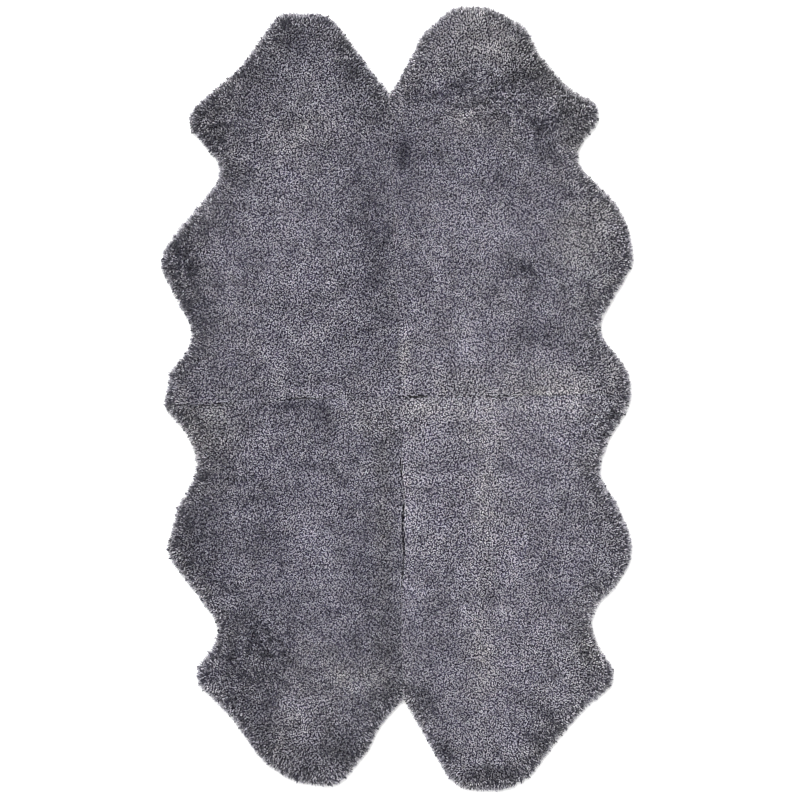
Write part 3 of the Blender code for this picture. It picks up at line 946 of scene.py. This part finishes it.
def laid(pelt, pitch, random):
    """Places, slopes and headings of the curls of a pelt, and how far each is inside the rim."""
    places, normals = scattered(pelt, pitch, random)
    heading = swirl(places) + random.normal(0.0, STRAY, len(places))
    depth, out = rim_depth(pelt, places)
    share = np.clip(1 - depth / OUTWARD_REACH, 0, 1) ** OUTWARD_POWER
    outwards = np.arctan2(out[:, 1], out[:, 0]) + random.normal(0, RIM_STRAY, len(places))
    heading = turned(heading, outwards, share)

    points, outward = outlines[pelt]
    points, outward = points[on_seam[pelt]], outward[on_seam[pelt]]
    index, distance = nearest(places, points)
    off = outward[index]
    width = parting_width(places, off)
    open_share = np.clip(width / OPEN_WIDTH, 0, 1)
    share = np.clip(PARTING_TURN * (1 - distance / SEAM_DIP), 0, MOST_TURN) * open_share
    heading = turned(heading, np.arctan2(off[:, 0], -off[:, 1]), share)
    stray = wander(places, off) * open_share
    push = np.clip(width + CURL_ROOM + stray - distance, 0, None) * (width > CLOSED_WIDTH)
    push -= np.clip(-stray, 0, None) * np.clip(1 - distance / STRAY_REACH, 0, 1)
    places[:, :2] -= off * push[:, None]
    for spot in np.flatnonzero((distance < SEAM_DIP) & (depth > SKIRT)):
        hit, normal = wool_top(pelt, places[spot, :2] - off[spot] * (SEAM_DIP - distance[spot]))
        if hit is not None:
            rise = (hit.z - places[spot, 2]) * (LEVELLED - OPEN_DIP * open_share[spot])
            places[spot, 2] += max(0.0, rise)
            normals[spot] = normal
    kept = normals[:, 2] > STEEPEST
    return places[kept], normals[kept], heading[kept], depth[kept]


# %% [markdown]
# ## Curls and undercoat
#
# Two coats fill the pelt. The curls of the topcoat stand a little proud of the wool's form. Between them
# tufts of the undercoat fill the gaps, so no gap opens to a smooth bed. In each the path is an arch: both
# ends are sunk in the bed, and the middle is bent to one side or snakes a little. Single curls are darker
# than the ones round them. Near the rim, and a little where it was combed, the wool is ragged: there the
# curls differ more, to both sides. A table names the places where they stand out more or less.


# %% Paths of the curls
LENGTHS, CRESTS, WIDTHS = (0.75, 1.25), (0.4, 1.6), (0.8, 1.2)     # least and most, against the usual
CURL_SINK = 4.0 * MM        # the ends of a curl are sunk this deep
CURL_BEND, CURL_SNAKE = 1.7, 0.9        # how far it bends and snakes to a side, in millimetres
NARROWED = 0.45             # how much narrower a curl is towards its ends


def arches(places, normals, heading, length, rise, bend, snake, points_each):
    """Paths of tufts that arch out of the wool, and the height share of every point on them."""
    flat = np.column_stack([np.cos(heading), np.sin(heading), np.zeros(len(heading))])
    across = np.cross(normals, flat)
    across /= np.linalg.norm(across, axis=1)[:, None]
    forward = np.cross(across, normals)
    run = np.linspace(-1, 1, points_each)[None, :]
    arch = 1 - run ** 2
    along = run * length[:, None] / 2
    aside = bend[:, None] * (arch - 0.5) + snake[:, None] * np.sin(math.pi * run)
    above = rise[:, None] * arch - CURL_SINK
    paths = (places[:, None, :] + along[:, :, None] * forward[:, None, :]
             + aside[:, :, None] * across[:, None, :] + above[:, :, None] * normals[:, None, :])
    return paths, np.repeat(arch, len(places), axis=0)


# %% Brightness of the curls
CONTRAST = 0.16             # how much single curls differ in brightness
OPEN_CONTRAST, OPEN_SIZE = 0.05, 45.0   # how much more or less in places, and their size in millimetres
RAGGED_CONTRAST = 0.28      # how much more where the wool is ragged
RIM_BAND = 26 * MM          # it is ragged this far in from the rim
COMBED_RAGGED = 0.3         # and this much where it was combed
BRIGHT_SHARE = 0.05         # elsewhere bright curls differ by this share of what dark ones do
DULLEST, BRIGHTEST = 0.3, 1.28          # no curl is beyond these, against the curls round it
END_SHADE, END_POWER = 0.25, 1.5        # painted shade: light on the sunk ends of a curl, less where the wool is dark
LIMITS = (0.02, 0.6)        # for the contrast and the end shade
TINT = 0.12                 # how much single curls differ in warmth
MEAN_ARCH = 0.75            # share of a curl's full light that its whole length has on average
CRIMP_LIGHT = 0.12          # light that the shadows of the crimp take off on average
# place, x, y, reach across, reach along, and how much more the curls stand out there, as a share
GRAINS = [
    ("top left: flank's edge", -535, 310, 50, 75, 0.8),
    ("top left: beside the spine", -90, 430, 60, 170, 0.45),
    ("top left: belly", -352, 250, 50, 50, 0.4),
    ("top left: loin", -240, 130, 60, 50, -0.5),
    ("top right: neck", 172, 870, 110, 75, -0.7),
    ("top right: loin", 176, 133, 60, 50, -0.5),
    ("top right: root of the tail", 10, 78, 50, 50, -0.5),
    ("top right: hind leg's edge", 529, 78, 45, 50, -0.5),
    ("bottom left: back", -352, -210, 50, 60, 0.4),
    ("bottom left: inner side of the neck", -125, -770, 50, 70, 0.5),
    ("bottom right: neck", 176, -790, 60, 60, -0.5),
]
print("places where the curls stand out more or less", len(GRAINS))


# %% Topcoat and undercoat
def curl_coat(pelt, coat, pitch, length, half_width, crest, shade, rim_shade, rings_each, seed):
    """A coat of curls over one pelt, with every size in millimetres."""
    random = np.random.default_rng(seed)
    places, normals, heading, depth = laid(pelt, pitch * MM, random)
    count = len(places)
    length = length * MM * random.uniform(*LENGTHS, count)
    rise = CURL_SINK + crest * MM * random.uniform(*CRESTS, count)
    bend = random.uniform(-CURL_BEND, CURL_BEND, count) * MM
    snake = random.uniform(-CURL_SNAKE, CURL_SNAKE, count) * MM
    paths, arch = arches(places, normals, heading, length, rise, bend, snake, rings_each + 2)
    widths = half_width * MM * random.uniform(*WIDTHS, count)
    widths = widths[:, None] * (1 - NARROWED * (1 - arch[:, 1:-1]))
    light, warmth = tones(pelt, places, depth)
    at_rim = fading(depth, RIM_BAND)
    ragged = np.maximum(at_rim, COMBED_RAGGED * combed(places))
    grain = 1 + sum(more * oval(places, *area) for _, *area, more in GRAINS)
    contrast = CONTRAST + OPEN_CONTRAST * mottled(places, OPEN_SIZE, 90.0) + RAGGED_CONTRAST * ragged
    contrast = np.clip(contrast * grain / light, *LIMITS)
    end_shade = np.clip(END_SHADE * light ** END_POWER / grain ** 2, *LIMITS)[:, None]
    # painted shade: the undercoat darkens near the rim, by its rim_shade
    light = (light + CRIMP_LIGHT * (grain - 1)) * shade * (1 - (1 - rim_shade) * at_rim)
    luck = random.normal(0, 1, count)
    luck = np.where(luck > 0, (BRIGHT_SHARE + (1 - BRIGHT_SHARE) * ragged) * luck, luck)
    light = light * np.clip(1 + luck * contrast, DULLEST, BRIGHTEST) ** EYE_POWER
    # painted shade: the sunk ends of each curl are darker than its crest
    light = light[:, None] * (end_shade + (1 - end_shade) * arch)
    light /= end_shade + (1 - end_shade) * MEAN_ARCH
    warmth = np.clip(warmth + random.normal(0, TINT, count), 0, 1)
    name = pelt.replace("pelt", coat)
    return joined_tufts(name, CURLED_WOOL, paths, normals, widths, light, warmth, grain)


for number, pelt in enumerate(PELTS):
    curl_coat(pelt, "curls", pitch=5.85, length=5.8, half_width=2.3, crest=1.4,
              shade=0.943, rim_shade=1.0, rings_each=2, seed=11 + number)
    curl_coat(pelt, "undercoat", pitch=9.2, length=6.2, half_width=2.0, crest=0.0,
              shade=1.20, rim_shade=0.45, rings_each=1, seed=31 + number)

# %% [markdown]
# ## Locks at the rim
#
# Round the rim the wool falls over the skin's edge in fine locks, which give the rug its fuzzy outline.
# Five layers hang over each other, from locks that lie almost on the floor to others that lean out from the
# top, and the sixth is of loose fibres, a third as thick, that reach out furthest. The tips are bleached
# lighter than the rest of the wool. The rim isn't even: a noise makes the locks reach out in clumps, and the
# table names the places where the wool is longer or shorter over some length.

# %% Layers of locks
# spacing, start behind the skin's edge and its height, reach and height of the bulge, reach and height of
# the tip, half width, all in millimetres
RIM_LAYERS = [
    (4.4, 3, 2.5, 4.5, 3.5, 7.2, 1.2, 1.6),
    (4.4, 3, 5.0, 6.0, 6.5, 9.7, 3.4, 1.5),
    (4.6, 4, 8.0, 7.0, 10.5, 11.6, 6.0, 1.4),
    (6.0, 5, 10.5, 5.5, 13.0, 11.4, 9.5, 1.2),
    (9.0, 8, 14.0, 1.0, 17.5, 7.0, 13.5, 1.1),
    (2.8, 2, 8.0, 5.0, 11.5, 14.2, 7.5, 0.42),
]
# place, x, y, size of the place, and how much further the wool reaches there, in millimetres
LONG_WOOL = [
    ("top left: neck", -240, 915, 38, 4.0),
    ("top left: flank", -494, 420, 62, 5.5),
    ("top left: foreleg", -398, 560, 40, 3.0),
    ("top right: neck", 285, 880, 60, 3.0),
    ("top right: cheek", 411, 722, 45, 6.0),
    ("bottom left: waist", -471, -150, 50, 3.5),
    ("bottom left: throat", -334, -830, 60, 3.0),
    ("bottom left: inner side of the neck", -140, -905, 60, -3.0),
]
print("layers of locks", len(RIM_LAYERS))

# %% Rim locks
LOCK_SCATTER = 0.4          # how far a lock strays from its place, as a share of their spacing
LOCK_TURN = 0.5             # and from straight outwards, in radians
REACH_SPREAD, TIP_SPREAD = 1.7, 1.2     # how much their reach and their tips' height differ, in millimetres
LOWEST_TIP = 1.2 * MM
LOCK_SWAY, LOCK_WAVES = 1.9 * MM, 1.5   # they snake to a side this far, in half waves
RING_WIDTHS = (0.95, 1.1, 0.75)
LOCK_WIDTHS = (0.8, 1.25)   # the thinnest and the thickest lock, against the usual
LOCK_CONTRAST = 0.65        # how much single locks differ in brightness
LOCK_LIGHT = (0.38, 0.68, 1.3, 2.1, 2.9)        # from the foot of a lock to its tip: the foot is darkened as painted shade, the tip is bleached lighter
PALEST_TIP = 1.75           # no tip is lighter than this, or it would look white
BUMPS, BUMP_SIZE = 3.2 * MM, 17.0       # locks reach out in clumps, this far and of this size


def rim_locks(pelt, seed):
    random = np.random.default_rng(seed)
    points, outward = outlines[pelt]
    rim = np.flatnonzero(~on_seam[pelt])
    chosen, layers = [], []
    for layer in RIM_LAYERS:
        step = layer[0] * MM / RING_STEP
        jitter = random.uniform(-LOCK_SCATTER, LOCK_SCATTER, math.ceil(len(rim) / step)) * step
        picks = np.arange(0, len(rim), step) + jitter
        picks = rim[np.clip(picks.round().astype(int), 0, len(rim) - 1)]
        chosen.append(picks)
        layers.append(np.tile(layer[1:], (len(picks), 1)))
    chosen = np.concatenate(chosen)
    start, start_z, bulge, bulge_z, reach, tip_z, half_width = (np.concatenate(layers) * MM).T
    count = len(chosen)
    foot, out = points[chosen], outward[chosen]
    out = np.column_stack(rotated(*out.T, random.normal(0, LOCK_TURN, count)))
    aside = np.column_stack([-out[:, 1], out[:, 0]])
    places = np.column_stack([foot, start_z])
    reach = reach + random.normal(0, REACH_SPREAD, count) * MM + BUMPS * mottled(places, BUMP_SIZE, 130.0)
    for _, x, y, size, longer in LONG_WOOL:
        away = np.hypot(foot[:, 0] - x * MM, foot[:, 1] - y * MM)
        reach = reach + longer * MM * fading(away, size * MM)
    tip_z = np.maximum(tip_z + random.normal(0, TIP_SPREAD, count) * MM, LOWEST_TIP)
    run = np.linspace(0, 1, TUFT_POINTS)[None, :, None]
    first, middle, tip = (np.column_stack([foot + out * beyond[:, None], height])[:, None, :]
                          for beyond, height in ((-start, start_z), (bulge, bulge_z), (reach, tip_z)))
    paths = (1 - run) ** 2 * first + 2 * run * (1 - run) * middle + run ** 2 * tip
    sway = random.uniform(-1, 1, count) * LOCK_SWAY
    strayed = np.sin(math.pi * run[:, :, 0] * LOCK_WAVES) * sway[:, None]
    paths[:, :, :2] += strayed[:, :, None] * aside[:, None, :]
    ups = np.tile([0.0, 0.0, 1.0], (count, 1))
    widths = half_width[:, None] * np.array(RING_WIDTHS) * random.uniform(*LOCK_WIDTHS, count)[:, None]
    light, warmth = tones(pelt, places, np.zeros(count))
    light = light * np.exp(np.minimum(random.normal(0, LOCK_CONTRAST, count), LOCK_CONTRAST))
    # painted shade at the foot of each lock, bleached colour at its tip
    light = np.minimum(light[:, None] * np.array(LOCK_LIGHT), PALEST_TIP)
    name = pelt.replace("pelt", "rim_locks")
    return joined_tufts(name, CURLED_WOOL, paths, ups, widths, light, warmth)


for number, pelt in enumerate(PELTS):
    rim_locks(pelt, 51 + number)

# %% [markdown]
# ## Seams
#
# The skins are sewn edge to edge from behind with a slanting overcast stitch. Two of the pelts border on
# all four seams between them, so the stitches are set out along the outlines of those two.

# %% Thread
TWIST_DEPTH = 0.2 * MM
DARK_THREAD, PALE_THREAD = linear(120, 112, 104), linear(176, 168, 158)


def thread_finish():
    thread = Finish("waxed_thread", Roughness=0.55)
    twist = thread.noise(thread.attribute("strand", "Vector"), 2.0, 2.0)
    colour = thread.mix(twist, DARK_THREAD, PALE_THREAD)
    thread.feed(thread.shader.inputs["Base Color"], colour)
    thread.bump(twist, TWIST_DEPTH)
    return thread.material


WAXED_THREAD = thread_finish()
print("finish:", WAXED_THREAD.name)

# %% Overcast stitches
STITCH_STEP = 5.0 * MM
STITCH_REACH = 2.4 * MM
STITCH_SLANT = 1.1 * MM
STITCH_ENDS, STITCH_MIDDLE = 1.3 * MM, 0.35 * MM        # heights, so both ends are in the skins
THREAD_RADIUS = 0.33 * MM


def stitches(pelt):
    points, outward = outlines[pelt]
    picks = np.flatnonzero(on_seam[pelt])[:: round(STITCH_STEP / RING_STEP)]
    foot, out = points[picks], outward[picks]
    along = np.column_stack([-out[:, 1], out[:, 0]])
    run = np.linspace(-1, 1, TUFT_POINTS)[None, :, None]
    flat = foot[:, None, :] + run * (STITCH_REACH * out + STITCH_SLANT * along)[:, None, :]
    height = STITCH_ENDS * run ** 2 + STITCH_MIDDLE * (1 - run ** 2)
    paths = np.concatenate([flat, np.broadcast_to(height, flat[:, :, :1].shape)], axis=2)
    count = len(picks)
    widths = np.full((count, TUFT_POINTS - 2), THREAD_RADIUS)
    return joined_tufts(pelt.replace("pelt", "seam_thread"), WAXED_THREAD, paths,
                        np.tile([0.0, 0.0, -1.0], (count, 1)), widths,
                        np.ones((count, TUFT_POINTS)), np.zeros(count))


for pelt in ("pelt_top_left", "pelt_bottom_right"):
    stitches(pelt)

# %% [markdown]
# ## Area of the skins
#
# A skin is a sheet that lies on the floor. The area that its outline encloses is worked out for each pelt,
# but it isn't kept.

for pelt in PELTS:
    float(ring_area(rings[pelt]))

# %% [markdown]
# ## Floor and light
#
# The rug was photographed on white, in soft light from all round with a little more from the upper left.
# The floor is plain and almost white, and a broad sun adds just enough shade to part the curls.

# %% Studio
FLOOR_SIZE, FLOOR_DROP = 12.0, 0.4 * MM
FLOOR_WHITE = (0.94, 0.94, 0.94, 1)
SKY_LIGHT = 1.12
SUN_LIGHT = 2.3
SUN_SPREAD = 35.0           # apparent width of the sun in degrees, which softens its shadows
SUN_TILT = (-38.0, 0.0, 30.0)

floor_mesh = bmesh.new()
bmesh.ops.create_grid(floor_mesh, x_segments=1, y_segments=1, size=FLOOR_SIZE)
bmesh.ops.translate(floor_mesh, verts=floor_mesh.verts, vec=(0, 0, -FLOOR_DROP))
floor_data = bpy.data.meshes.new("floor")
floor_mesh.to_mesh(floor_data)
floor_mesh.free()
floor = placed("floor", floor_data)
floor_data.materials.append(Finish("white_floor", Base_Color=FLOOR_WHITE, Roughness=0.8).material)

sun_data = bpy.data.lights.new("soft_sun", "SUN")
sun_data.energy = SUN_LIGHT
sun_data.angle = math.radians(SUN_SPREAD)
placed("soft_sun", sun_data).rotation_euler = [math.radians(turn) for turn in SUN_TILT]

world = bpy.data.worlds.new("studio")
world.use_nodes = True
world.node_tree.nodes["Background"].inputs["Color"].default_value = (1, 1, 1, 1)
world.node_tree.nodes["Background"].inputs["Strength"].default_value = SKY_LIGHT
bpy.context.scene.world = world
bpy.context.scene.view_settings.view_transform = "Standard"
bpy.context.scene.cycles.filter_width = 1.0
